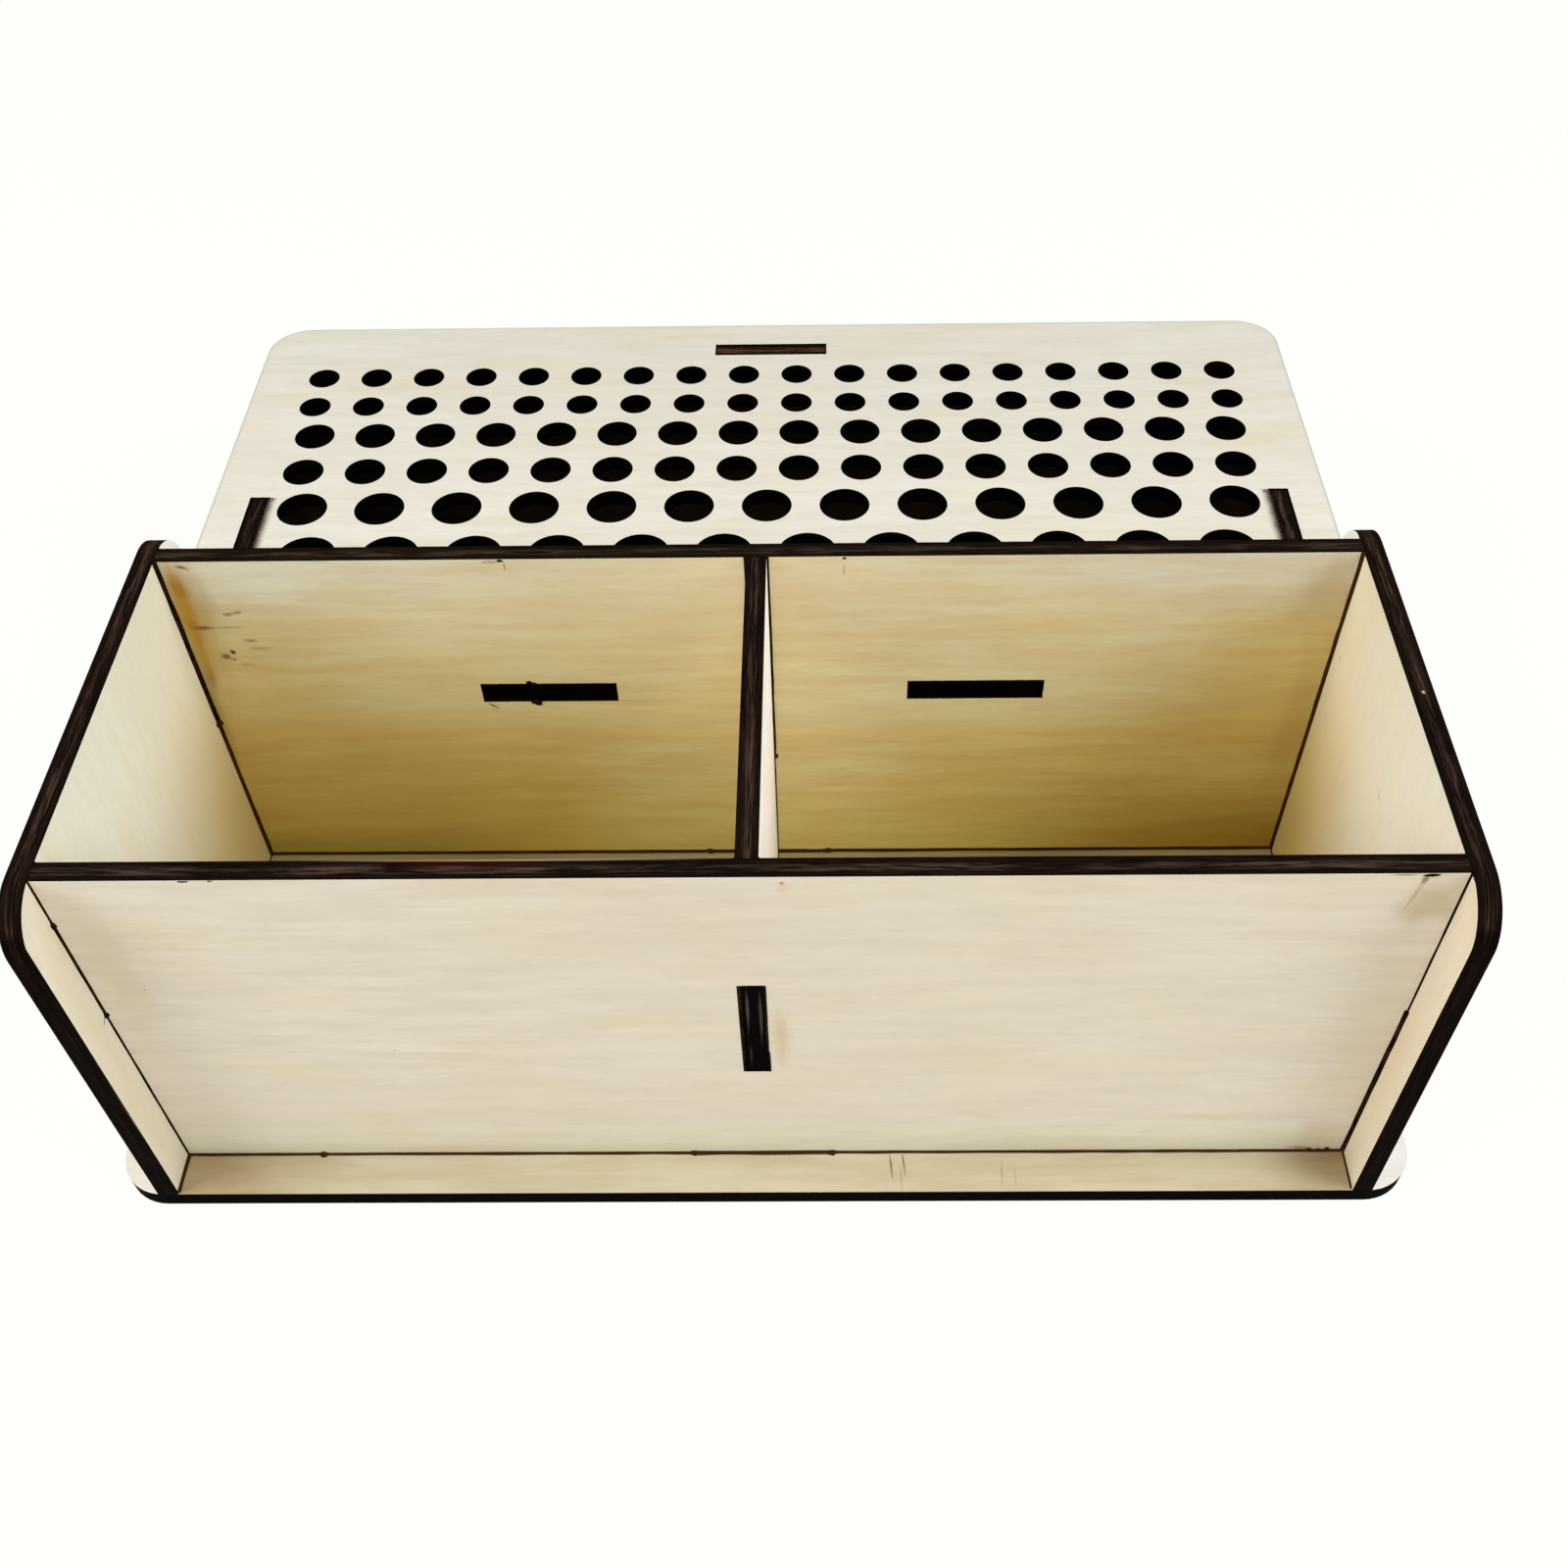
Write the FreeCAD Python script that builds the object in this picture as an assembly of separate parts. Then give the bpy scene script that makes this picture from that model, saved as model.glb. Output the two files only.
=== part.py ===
import FreeCAD, Part
import os
from FreeCAD import Rotation, Vector

# A router bit box: a kit of flat plywood sheets that lock together with tabs and slots.
# Two open bins stand in front. Behind them a perforated plate, held level over a hollow
# bay, keeps router bits upright by their shanks.
#
# Millimetres, +Z up, front towards -Y. The origin is the centre of the base's underside.
# While a sheet is drawn, depths are measured from the front edge of the base and heights
# from its top face. The placements at the end of each sheet move it into the row frame.

os.makedirs("parts", exist_ok=True)

# Sheet stock and joints
THICKNESS = 4.0          # plywood, the same for every sheet
TAB_LENGTH = 28.0        # every tab is this long
TAB_DEPTH = 3.8          # a tab ends just inside the far face of its slot
RACK_TAB_DEPTH = 3.0     # the rack plate's front tabs end deeper inside the bin wall
SLOT_PLAY = 0.25         # gap between a tab and each side of its slot
CORNER_RADIUS = 10.0     # every rounded corner

# Main sizes
INNER_WIDTH = 236.0      # between the two side panels
BIN_DEPTH = 75.0         # inside a bin, front to back
BIN_HEIGHT = 91.0        # inside a bin, floor to rim
BAY_DEPTH = 116.0        # under the rack plate, front to back
BAY_HEIGHT = 52.0        # under the rack plate, floor to plate
MARGIN = 9.0             # by which a sheet runs past the panel that crosses it

# Heights of the middle of each tab on an upright edge
FRONT_TAB_HEIGHT = 65.0
WALL_TAB_HEIGHT = 31.0
DIVIDER_TAB_HEIGHT = BIN_HEIGHT / 2
REAR_TAB_HEIGHT = BAY_HEIGHT / 2

# Places of the other tabs
RACK_TAB_OFFSET = 45.0   # rack plate's front tabs, each side of the middle
BIN_TAB_DISTANCE = 50.5  # tab under each side panel's tall part, from the front
BAY_TAB_DISTANCE = 137.0  # tabs under and over each side panel's low part

# Rows of bit holes, back to front: how many, pitch, diameter, distance from the front
HOLE_ROWS = [
    (18, 13.42, 7.75, 199.0),
    (18, 13.42, 7.75, 186.9),
    (16, 14.9, 9.7, 174.8),
    (16, 14.9, 9.7, 160.8),
    (13, 18.2, 11.7, 146.8),
    (12, 19.1, 13.6, 130.0),
]

# Worked out from the sizes above
HALF_INNER = INNER_WIDTH / 2
HALF_OUTER = HALF_INNER + THICKNESS
HALF_WIDTH = HALF_OUTER + MARGIN
FRONT_PANEL_AT = MARGIN
DIVIDER_AT = FRONT_PANEL_AT + THICKNESS
BIN_WALL_AT = DIVIDER_AT + BIN_DEPTH
RACK_PLATE_AT = BIN_WALL_AT + THICKNESS
TALL_PART_DEPTH = RACK_PLATE_AT + MARGIN
REAR_PANEL_AT = RACK_PLATE_AT + BAY_DEPTH
DEPTH = REAR_PANEL_AT + THICKNESS + MARGIN
HALF_TAB = TAB_LENGTH / 2
HALF_THICKNESS = THICKNESS / 2


def tabbed_side(start, end, middles, depth=TAB_DEPTH):
    """Corners of one straight side, walked with the sheet on the left.

    A tab stands out on the right at each distance from the start in middles. The
    side's own end belongs to the next side.
    """
    along = (end - start).normalize()
    outwards = Vector(along.y, -along.x, 0)
    corners = [start]
    for middle in middles:
        near = start + along * (middle - HALF_TAB)
        far = start + along * (middle + HALF_TAB)
        corners += [near, near + outwards * depth, far + outwards * depth, far]
    return corners


def outline(corners, rounded=()):
    """Closed wire through square corners, with an arc at each one listed in rounded."""
    edges = []
    count = len(corners)
    leaving = []
    arriving = []
    for index, corner in enumerate(corners):
        radius = CORNER_RADIUS if index in rounded else 0.0
        back = (corners[index - 1] - corner).normalize()
        ahead = (corners[(index + 1) % count] - corner).normalize()
        arriving.append(corner + back * radius)
        leaving.append(corner + ahead * radius)
        if radius:
            centre = corner + (back + ahead) * radius
            middle = centre - (back + ahead).normalize() * radius
            edges.append(Part.Arc(arriving[-1], middle, leaving[-1]).toShape())
    for index in range(count):
        edges.append(Part.LineSegment(leaving[index - 1], arriving[index]).toShape())
    return Part.Wire(Part.__sortEdges__(edges))


def slot(middle_u, middle_v, size_u, size_v):
    """Rectangular slot for a tab of this size, wider by the play all round."""
    reach = Vector(size_u / 2 + SLOT_PLAY, size_v / 2 + SLOT_PLAY, 0)
    middle = Vector(middle_u, middle_v, 0)
    across = Vector(reach.x, -reach.y, 0)
    return outline([middle - reach, middle + across, middle + reach, middle - across])


def round_hole(middle_u, middle_v, diameter):
    """Circular hole."""
    circle = Part.Circle(Vector(middle_u, middle_v, 0), Vector(0, 0, 1), diameter / 2)
    return Part.Wire(circle.toShape())


def cut_sheet(border, openings):
    """Flat sheet of plywood inside the border, without its openings."""
    face = Part.Face(border)
    if openings:
        face = face.cut([Part.Face(wire) for wire in openings])
    return face.extrude(Vector(0, 0, THICKNESS))


def lay_flat(sheet, height):
    """Level sheet: drawn width by distance, its underside at this height."""
    sheet.Placement = FreeCAD.Placement(Vector(0, -DEPTH / 2, height), Rotation())
    return sheet


def stand_across(sheet, distance):
    """Upright sheet from side to side: drawn width by height, its front at this distance."""
    turn = Rotation(Vector(1, 0, 0), Vector(0, 0, 1), Vector(0, -1, 0), "XYZ")
    place = Vector(0, distance + THICKNESS - DEPTH / 2, THICKNESS)
    sheet.Placement = FreeCAD.Placement(place, turn)
    return sheet


def stand_lengthwise(sheet, left):
    """Upright sheet from front to back: drawn distance by height, its left face at left."""
    turn = Rotation(Vector(0, 1, 0), Vector(0, 0, 1), Vector(1, 0, 0), "XYZ")
    sheet.Placement = FreeCAD.Placement(Vector(left, -DEPTH / 2, THICKNESS), turn)
    return sheet


def box_corners(low_u, low_v, high_u, high_v):
    """The four corners of a rectangle, anticlockwise from the lowest."""
    return [
        Vector(low_u, low_v, 0),
        Vector(high_u, low_v, 0),
        Vector(high_u, high_v, 0),
        Vector(low_u, high_v, 0),
    ]


def cross_panel(height, side_tab_height, top_tabs, openings):
    """Panel between the side panels, with one tab below and one on each side."""
    low_left, low_right, high_right, high_left = box_corners(-HALF_INNER, 0, HALF_INNER, height)
    corners = tabbed_side(low_left, low_right, [HALF_INNER])
    corners += tabbed_side(low_right, high_right, [side_tab_height])
    corners += tabbed_side(high_right, high_left, top_tabs)
    corners += tabbed_side(high_left, low_left, [height - side_tab_height])
    return cut_sheet(outline(corners), openings)


def base_plate():
    """Floor of the whole box, slotted for every upright sheet."""
    corners = box_corners(-HALF_WIDTH, 0, HALF_WIDTH, DEPTH)
    slots = [
        slot(0, distance + HALF_THICKNESS, TAB_LENGTH, THICKNESS)
        for distance in (FRONT_PANEL_AT, BIN_WALL_AT, REAR_PANEL_AT)
    ]
    slots.append(slot(0, DIVIDER_AT + BIN_DEPTH / 2, THICKNESS, TAB_LENGTH))
    for side in (-1, 1):
        for distance in (BIN_TAB_DISTANCE, BAY_TAB_DISTANCE):
            middle = side * (HALF_INNER + HALF_THICKNESS)
            slots.append(slot(middle, distance, THICKNESS, TAB_LENGTH))
    return lay_flat(cut_sheet(outline(corners, rounded=range(4)), slots), 0)


def side_panel(left):
    """End panel: tall beside the bins, low beside the bay, both tall corners rounded."""
    corners = tabbed_side(Vector(0, 0), Vector(DEPTH, 0), [BIN_TAB_DISTANCE, BAY_TAB_DISTANCE])
    corners += [Vector(DEPTH, 0)]
    corners += tabbed_side(
        Vector(DEPTH, BAY_HEIGHT), Vector(TALL_PART_DEPTH, BAY_HEIGHT), [DEPTH - BAY_TAB_DISTANCE]
    )
    corners += [Vector(TALL_PART_DEPTH, BAY_HEIGHT)]
    corners += [Vector(TALL_PART_DEPTH, BIN_HEIGHT), Vector(0, BIN_HEIGHT)]
    tall_corners = (len(corners) - 2, len(corners) - 1)
    slots = [
        slot(distance + HALF_THICKNESS, height, THICKNESS, TAB_LENGTH)
        for distance, height in (
            (FRONT_PANEL_AT, FRONT_TAB_HEIGHT),
            (BIN_WALL_AT, WALL_TAB_HEIGHT),
            (REAR_PANEL_AT, REAR_TAB_HEIGHT),
        )
    ]
    return stand_lengthwise(cut_sheet(outline(corners, rounded=tall_corners), slots), left)


def front_panel():
    """Front of the bins, set back from the ends of the side panels."""
    divider_slot = slot(0, DIVIDER_TAB_HEIGHT, THICKNESS, TAB_LENGTH)
    panel = cross_panel(BIN_HEIGHT, FRONT_TAB_HEIGHT, [], [divider_slot])
    return stand_across(panel, FRONT_PANEL_AT)


def bin_back_wall():
    """Wall between the bins and the rack, slotted for the divider and the rack plate."""
    slots = [slot(0, DIVIDER_TAB_HEIGHT, THICKNESS, TAB_LENGTH)]
    for side in (-1, 1):
        middle = BAY_HEIGHT + HALF_THICKNESS
        slots.append(slot(side * RACK_TAB_OFFSET, middle, TAB_LENGTH, THICKNESS))
    return stand_across(cross_panel(BIN_HEIGHT, WALL_TAB_HEIGHT, [], slots), BIN_WALL_AT)


def rack_rear_panel():
    """Low panel that closes the back of the bay and carries the rack plate."""
    panel = cross_panel(BAY_HEIGHT, REAR_TAB_HEIGHT, [HALF_INNER], [])
    return stand_across(panel, REAR_PANEL_AT)


def bin_divider():
    """Partition that makes two bins, with a tab in front, behind and below."""
    low_front, low_back, high_back, high_front = box_corners(
        DIVIDER_AT, 0, BIN_WALL_AT, BIN_HEIGHT
    )
    corners = tabbed_side(low_front, low_back, [BIN_DEPTH / 2])
    corners += tabbed_side(low_back, high_back, [DIVIDER_TAB_HEIGHT])
    corners += [high_back]
    corners += tabbed_side(high_front, low_front, [BIN_HEIGHT - DIVIDER_TAB_HEIGHT])
    return stand_lengthwise(cut_sheet(outline(corners), []), -HALF_THICKNESS)


def bit_holes():
    """Every hole of the rack plate: evenly pitched rows, centred on the box."""
    holes = []
    for count, pitch, diameter, distance in HOLE_ROWS:
        first = -pitch * (count - 1) / 2
        for index in range(count):
            holes.append(round_hole(first + index * pitch, distance, diameter))
    return holes


def rack_plate():
    """Perforated plate: narrow in front, between the tall side panels, and wide behind."""
    neck = HALF_INNER - SLOT_PLAY
    shoulder = TALL_PART_DEPTH + SLOT_PLAY
    front_left = Vector(-neck, RACK_PLATE_AT)
    front_right = Vector(neck, RACK_PLATE_AT)
    corners = tabbed_side(
        front_left, front_right, [neck - RACK_TAB_OFFSET, neck + RACK_TAB_OFFSET], RACK_TAB_DEPTH
    )
    corners += [front_right, Vector(neck, shoulder)]
    wide_part = box_corners(-HALF_WIDTH, shoulder, HALF_WIDTH, DEPTH)
    wide_corners = range(len(corners), len(corners) + len(wide_part))
    corners += wide_part[1:] + wide_part[:1]
    corners += [Vector(-neck, shoulder)]
    slots = [slot(0, REAR_PANEL_AT + HALF_THICKNESS, TAB_LENGTH, THICKNESS)]
    for side in (-1, 1):
        middle = side * (HALF_INNER + HALF_THICKNESS)
        slots.append(slot(middle, BAY_TAB_DISTANCE, THICKNESS, TAB_LENGTH))
    sheet = cut_sheet(outline(corners, rounded=wide_corners), slots + bit_holes())
    return lay_flat(sheet, THICKNESS + BAY_HEIGHT)


SHEETS = {
    "base_plate": base_plate(),
    "left_side_panel": side_panel(-HALF_OUTER),
    "right_side_panel": side_panel(HALF_INNER),
    "front_panel": front_panel(),
    "bin_back_wall": bin_back_wall(),
    "bin_divider": bin_divider(),
    "rack_plate": rack_plate(),
    "rack_rear_panel": rack_rear_panel(),
}

for name, shape in SHEETS.items():
    shape.exportStep("parts/" + name + ".step")
    size = shape.BoundBox
    print(f"{name}: {size.XLength:.1f} x {size.YLength:.1f} x {size.ZLength:.1f} mm")
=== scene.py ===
import math
import random

import bmesh
import bpy
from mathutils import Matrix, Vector

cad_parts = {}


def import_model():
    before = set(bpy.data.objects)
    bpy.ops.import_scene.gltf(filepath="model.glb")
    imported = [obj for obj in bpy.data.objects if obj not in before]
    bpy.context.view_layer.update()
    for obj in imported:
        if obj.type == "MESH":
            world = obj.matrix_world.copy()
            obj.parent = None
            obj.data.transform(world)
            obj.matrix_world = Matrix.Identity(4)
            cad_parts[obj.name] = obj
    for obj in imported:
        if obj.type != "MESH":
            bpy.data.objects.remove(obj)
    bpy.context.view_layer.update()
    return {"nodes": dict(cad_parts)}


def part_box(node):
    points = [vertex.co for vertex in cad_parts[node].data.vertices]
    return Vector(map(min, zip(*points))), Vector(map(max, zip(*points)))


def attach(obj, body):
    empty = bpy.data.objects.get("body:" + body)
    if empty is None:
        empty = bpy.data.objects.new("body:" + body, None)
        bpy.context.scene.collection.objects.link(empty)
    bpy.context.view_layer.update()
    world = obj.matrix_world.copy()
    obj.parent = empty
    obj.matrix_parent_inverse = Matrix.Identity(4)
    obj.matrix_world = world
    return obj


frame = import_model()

# Up to the studio, everything works in millimetres of the row frame: +X right, +Y back, +Z up.
MM = 1000.0
X, Y, Z = 0, 1, 2


# ---------------------------------------------------------------- sizes

def low(node, axis):
    """Lowest coordinate of a CAD node along an axis."""
    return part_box(node)[0][axis] * MM


def high(node, axis):
    """Highest coordinate of a CAD node along an axis."""
    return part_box(node)[1][axis] * MM


# Driving sizes, the same as the part's. Setbacks count from the base's front edge, and the
# rear panel's from its back edge. Rises count from the top of the base.
THICKNESS = 4.0
HALF_THICKNESS = THICKNESS / 2
TAB = 28.0
SLOT_PLAY = 0.25
CORNER_RADIUS = 10.0
FRONT_SETBACK = 9.0
WALL_SETBACK = 88.0
SHOULDER_SETBACK = 101.25
SIDE_SLOT_SETBACK = 137.0
REAR_SETBACK = 13.0
FRONT_TAB_RISE = 65.0
WALL_TAB_RISE = 31.0
WALL_SLOT_OFFSET = 45.0
WALL_SLOT_DROP = 0.08
WALL_SLOT_GROWTH = 0.65

HALF_WIDTH = high("base_plate", X)
HALF_DEPTH = high("base_plate", Y)
HALF_OUTER = high("right_side_panel", X)
HALF_INNER = HALF_OUTER - THICKNESS
FLOOR = high("base_plate", Z)
RIM = high("front_panel", Z)
PLATE_TOP = high("rack_plate", Z)
PLATE_UNDERSIDE = PLATE_TOP - THICKNESS
FRONT_FACE = FRONT_SETBACK - HALF_DEPTH
FRONT_BACK = FRONT_FACE + THICKNESS
WALL_FACE = WALL_SETBACK - HALF_DEPTH
WALL_BACK = WALL_FACE + THICKNESS
REAR_FACE = HALF_DEPTH - REAR_SETBACK
REAR_BACK = REAR_FACE + THICKNESS
SHOULDER = SHOULDER_SETBACK - HALF_DEPTH
FRONT_SLOT_HEIGHT = (FLOOR + RIM) / 2
SIDE_SLOT_PLACE = SIDE_SLOT_SETBACK - HALF_DEPTH
FRONT_TAB_HEIGHT = FLOOR + FRONT_TAB_RISE
WALL_TAB_HEIGHT = FLOOR + WALL_TAB_RISE


# ---------------------------------------------------------------- colours

def linear(red, green, blue):
    """Linear colour with alpha, from eight-bit sRGB values."""
    def channel(value):
        value /= 255.0
        return value / 12.92 if value <= 0.04045 else ((value + 0.055) / 1.055) ** 2.4
    return (channel(red), channel(green), channel(blue), 1.0)


# Soot, also used as painted shade on edges that don't look up and on tab ends sunk in slots.
SOOT_AND_SHADE = linear(5, 3, 3)
# Painted shade in the closed bay under the rack plate, darker towards its back.
BAY_SHADE = linear(172, 160, 122)
BAY_DEEP_SHADE = linear(70, 57, 41)
CHAR = linear(30, 17, 11)
CHAR_DARK = linear(11, 6, 5)
SCORCH = linear(62, 40, 24)
PINK = linear(226, 207, 190)
GREEN = linear(212, 209, 184)
AMBER = linear(188, 142, 50)
BROWN = linear(98, 72, 34)
DARK_KNOT = linear(48, 28, 10)
CREAM = linear(223, 213, 196)
CREAM_SHADE = linear(214, 203, 184)
NEUTRAL = linear(237, 238, 238)
NEUTRAL_SHADE = linear(229, 219, 206)
RACK_TONE = linear(218, 214, 203)
RACK_SHADE = linear(210, 205, 190)
RACK_SLOT_BROWN = linear(84, 66, 52)
RACK_OUTLINE = linear(190, 187, 178)
LEFT_TONE = linear(237, 238, 225)
LEFT_SHADE = linear(235, 234, 218)
LEFT_WARM_SHADE = linear(198, 174, 98)
RIGHT_TONE = linear(240, 235, 217)
RIGHT_SHADE = linear(238, 231, 211)
RIGHT_WARM_SHADE = linear(196, 170, 78)
DIVIDER_TONE = linear(254, 250, 248)
DIVIDER_SHADE = linear(250, 243, 234)
OPEN_AIR_LIGHT = linear(250, 247, 240)
BASE_TONE = linear(230, 230, 229)
BASE_SHADE = linear(223, 221, 217)
LEDGE = linear(199, 189, 160)
LEDGE_SHADE = linear(187, 175, 143)
BIN_FLOOR_SHADED = linear(174, 156, 108)
BIN_FLOOR_OPEN = linear(196, 181, 142)

# Height on the bin wall, and the tint that multiplies its wood there: painted shade, darkening and turning
# gold towards the foot.
WALL_SHADE_STOPS = (
    (4.0, linear(230, 206, 107)),
    (44.0, linear(223, 197, 122)),
    (52.0, linear(224, 210, 153)),
    (92.0, linear(233, 225, 192)),
)

SPECULAR = 0.01
BUMP_STRENGTH = 0.1
BUMP_DISTANCE = 0.0002


# ---------------------------------------------------------------- node graphs

class Graph:
    """Short words for building one material's node tree."""

    def __init__(self, name):
        self.material = bpy.data.materials.new(name)
        self.material.use_nodes = True
        self.tree = self.material.node_tree
        self.tree.nodes.clear()

    def node(self, kind, **settings):
        made = self.tree.nodes.new(kind)
        for key, value in settings.items():
            setattr(made, key, value)
        return made

    def plug(self, socket, value):
        """Link a socket to another socket, or set it to a plain value."""
        if isinstance(value, bpy.types.NodeSocket):
            self.tree.links.new(value, socket)
        else:
            socket.default_value = value

    def math(self, operation, *values):
        made = self.node("ShaderNodeMath", operation=operation)
        for socket, value in zip(made.inputs, values):
            self.plug(socket, value)
        return made.outputs[0]

    def add(self, a, b):
        return self.math("ADD", a, b)

    def sub(self, a, b):
        return self.math("SUBTRACT", a, b)

    def mul(self, a, b):
        return self.math("MULTIPLY", a, b)

    def least(self, a, b):
        return self.math("MINIMUM", a, b)

    def most(self, a, b):
        return self.math("MAXIMUM", a, b)

    def size(self, a):
        return self.math("ABSOLUTE", a)

    def ramp(self, value, start, end, clear=0.0, full=1.0):
        """Smooth step: clear at start, full at end."""
        made = self.node("ShaderNodeMapRange", interpolation_type="SMOOTHSTEP")
        for socket, part in zip(made.inputs, (value, start, end, clear, full)):
            self.plug(socket, part)
        return made.outputs[0]

    def combine(self, x, y, z):
        made = self.node("ShaderNodeCombineXYZ")
        for socket, value in zip(made.inputs, (x, y, z)):
            self.plug(socket, value)
        return made.outputs[0]

    def noise(self, vector, scale, detail=2.0, roughness=0.5, distortion=0.0):
        made = self.node("ShaderNodeTexNoise", noise_dimensions="3D")
        self.plug(made.inputs["Vector"], vector)
        made.inputs["Scale"].default_value = scale
        made.inputs["Detail"].default_value = detail
        made.inputs["Roughness"].default_value = roughness
        made.inputs["Distortion"].default_value = distortion
        return made.outputs["Fac"]

    def mix(self, factor, a, b):
        made = self.node("ShaderNodeMix", data_type="RGBA")
        self.plug(made.inputs[0], factor)
        self.plug(made.inputs[6], a)
        self.plug(made.inputs[7], b)
        return made.outputs[2]

    def scaled(self, colour, factor):
        made = self.node("ShaderNodeVectorMath", operation="SCALE")
        self.plug(made.inputs[0], colour)
        self.plug(made.inputs["Scale"], factor)
        return made.outputs[0]

    def gradient(self, value, stops):
        """Colour along a value: stops are (position, colour), evenly blended between."""
        colour = stops[0][1]
        for (before, _), (after, tone) in zip(stops, stops[1:]):
            made = self.node("ShaderNodeMapRange")
            for socket, part in zip(made.inputs, (value, before, after, 0.0, 1.0)):
                self.plug(socket, part)
            colour = self.mix(made.outputs[0], colour, tone)
        return colour

    def parts(self, vector):
        made = self.node("ShaderNodeSeparateXYZ")
        self.plug(made.inputs[0], vector)
        return list(made.outputs)

    def position(self):
        """The point's coordinates in millimetres, as three sockets."""
        place = self.node("ShaderNodeTexCoord")
        return self.parts(self.scaled(place.outputs["Object"], MM))

    def looking(self, axis):
        """How far the surface looks along the axis: 1 fully, 0 across it, -1 the other way."""
        place = self.node("ShaderNodeTexCoord")
        return self.parts(place.outputs["Normal"])[axis]

    def facing(self, axis):
        """1 where the surface looks along the axis, either way, and 0 where it doesn't."""
        return self.math("GREATER_THAN", self.size(self.looking(axis)), 0.7)

    def tinted(self, colour, tint, factor=1.0):
        """Colour multiplied by a tint."""
        made = self.node("ShaderNodeMix", data_type="RGBA", blend_type="MULTIPLY")
        self.plug(made.inputs[0], factor)
        self.plug(made.inputs[6], colour)
        self.plug(made.inputs[7], tint)
        return made.outputs[2]

    def beyond_box(self, u, v, middle_u, middle_v, half_u, half_v):
        """Distance outwards from a rectangle, negative inside it."""
        across = self.sub(self.size(self.sub(u, middle_u)), half_u)
        upward = self.sub(self.size(self.sub(v, middle_v)), half_v)
        return self.most(across, upward)

    def blot(self, u, v, middle, size, angle, seed):
        """Soft elliptical patch with an uneven border: 1 in the middle, 0 outside."""
        turn = math.radians(angle)
        du = self.sub(u, middle[0])
        dv = self.sub(v, middle[1])
        along = self.add(self.mul(du, math.cos(turn)), self.mul(dv, math.sin(turn)))
        aside = self.sub(self.mul(dv, math.cos(turn)), self.mul(du, math.sin(turn)))
        reach_u = self.mul(along, 1.0 / size[0])
        reach_v = self.mul(aside, 1.0 / size[1])
        squares = self.add(self.math("POWER", reach_u, 2.0), self.math("POWER", reach_v, 2.0))
        ring = self.math("SQRT", squares)
        rough = self.noise(self.combine(reach_u, reach_v, seed), 1.3, 2.0)
        ring = self.add(ring, self.mul(self.sub(rough, 0.5), 0.9))
        return self.ramp(ring, 1.0, 0.15)

    def finish(self, colour, roughness, height=None):
        """Principled surface from a colour, a roughness and an optional bump height."""
        shader = self.node("ShaderNodeBsdfPrincipled")
        self.plug(shader.inputs["Base Color"], colour)
        self.plug(shader.inputs["Roughness"], roughness)
        shader.inputs["Specular IOR Level"].default_value = SPECULAR
        if height is not None:
            bump = self.node("ShaderNodeBump")
            bump.inputs["Strength"].default_value = BUMP_STRENGTH
            bump.inputs["Distance"].default_value = BUMP_DISTANCE
            self.plug(bump.inputs["Height"], height)
            self.plug(shader.inputs["Normal"], bump.outputs[0])
        out = self.node("ShaderNodeOutputMaterial")
        self.plug(out.inputs["Surface"], shader.outputs[0])
        return self.material


# ---------------------------------------------------------------- plywood

CHIP_SEED = 3.0
GLINT_SEED = 9.0
BLOT_SEED_STEP = 7.0
TINT_GAIN = 0.35
EDGE_BLUR = 0.1
FAR = 50.0
# Each pair is where a rim starts and where it is full, as a distance from the cut.
SCORCH_RIM = (0.2, 0.06)
SOOT_RIM = (0.08, -0.04)
BAY_FADE = (34.0, 70.0)
FACE_ROUGHNESS = (0.68, 0.82)
BAND_HEIGHT = 0.4
EDGE_HEIGHT = 3.0


class Sheet:
    """What the plywood material needs to know of one sheet."""

    def __init__(self, node, across, grain, tone, shade):
        self.node = node
        self.across = across
        self.grain = grain
        self.other = X + Y + Z - across - grain
        self.middle = (low(node, across) + high(node, across)) / 2
        self.tone = tone
        self.shade = shade
        # Each slot: middle along the grain, middle along the other axis, then its two sizes.
        self.slots = []
        # Each blot on the face: paint, middle, half sizes, angle in degrees and strength.
        self.blots = []
        # Each chip or glint on an edge: paint, its two axes, middle, half sizes and strength. Glints are
        # painted highlights.
        self.chips = []
        self.glints = []
        # Functions that change the face's colour.
        self.tints = []
        self.fineness = 1.0
        # The side that carries tints and blots: -1 or 1 along the axis across, 0 for both.
        self.marked = 0
        self.plain_tint = (1.0, 1.0, 1.0, 1.0)
        self.streak = linear(76, 58, 46)
        self.burn = 0.0
        # Cuts inside the outline can go near black, and every cut in front of a given place along Y is
        # painted shade, as for a tab's end sunk in a slot.
        self.dark_inner_cuts = False
        self.shaded_before = None

    def spans(self):
        """Lowest and highest coordinates along the grain and along the other axis."""
        return [(low(self.node, axis), high(self.node, axis)) for axis in (self.grain, self.other)]


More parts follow.
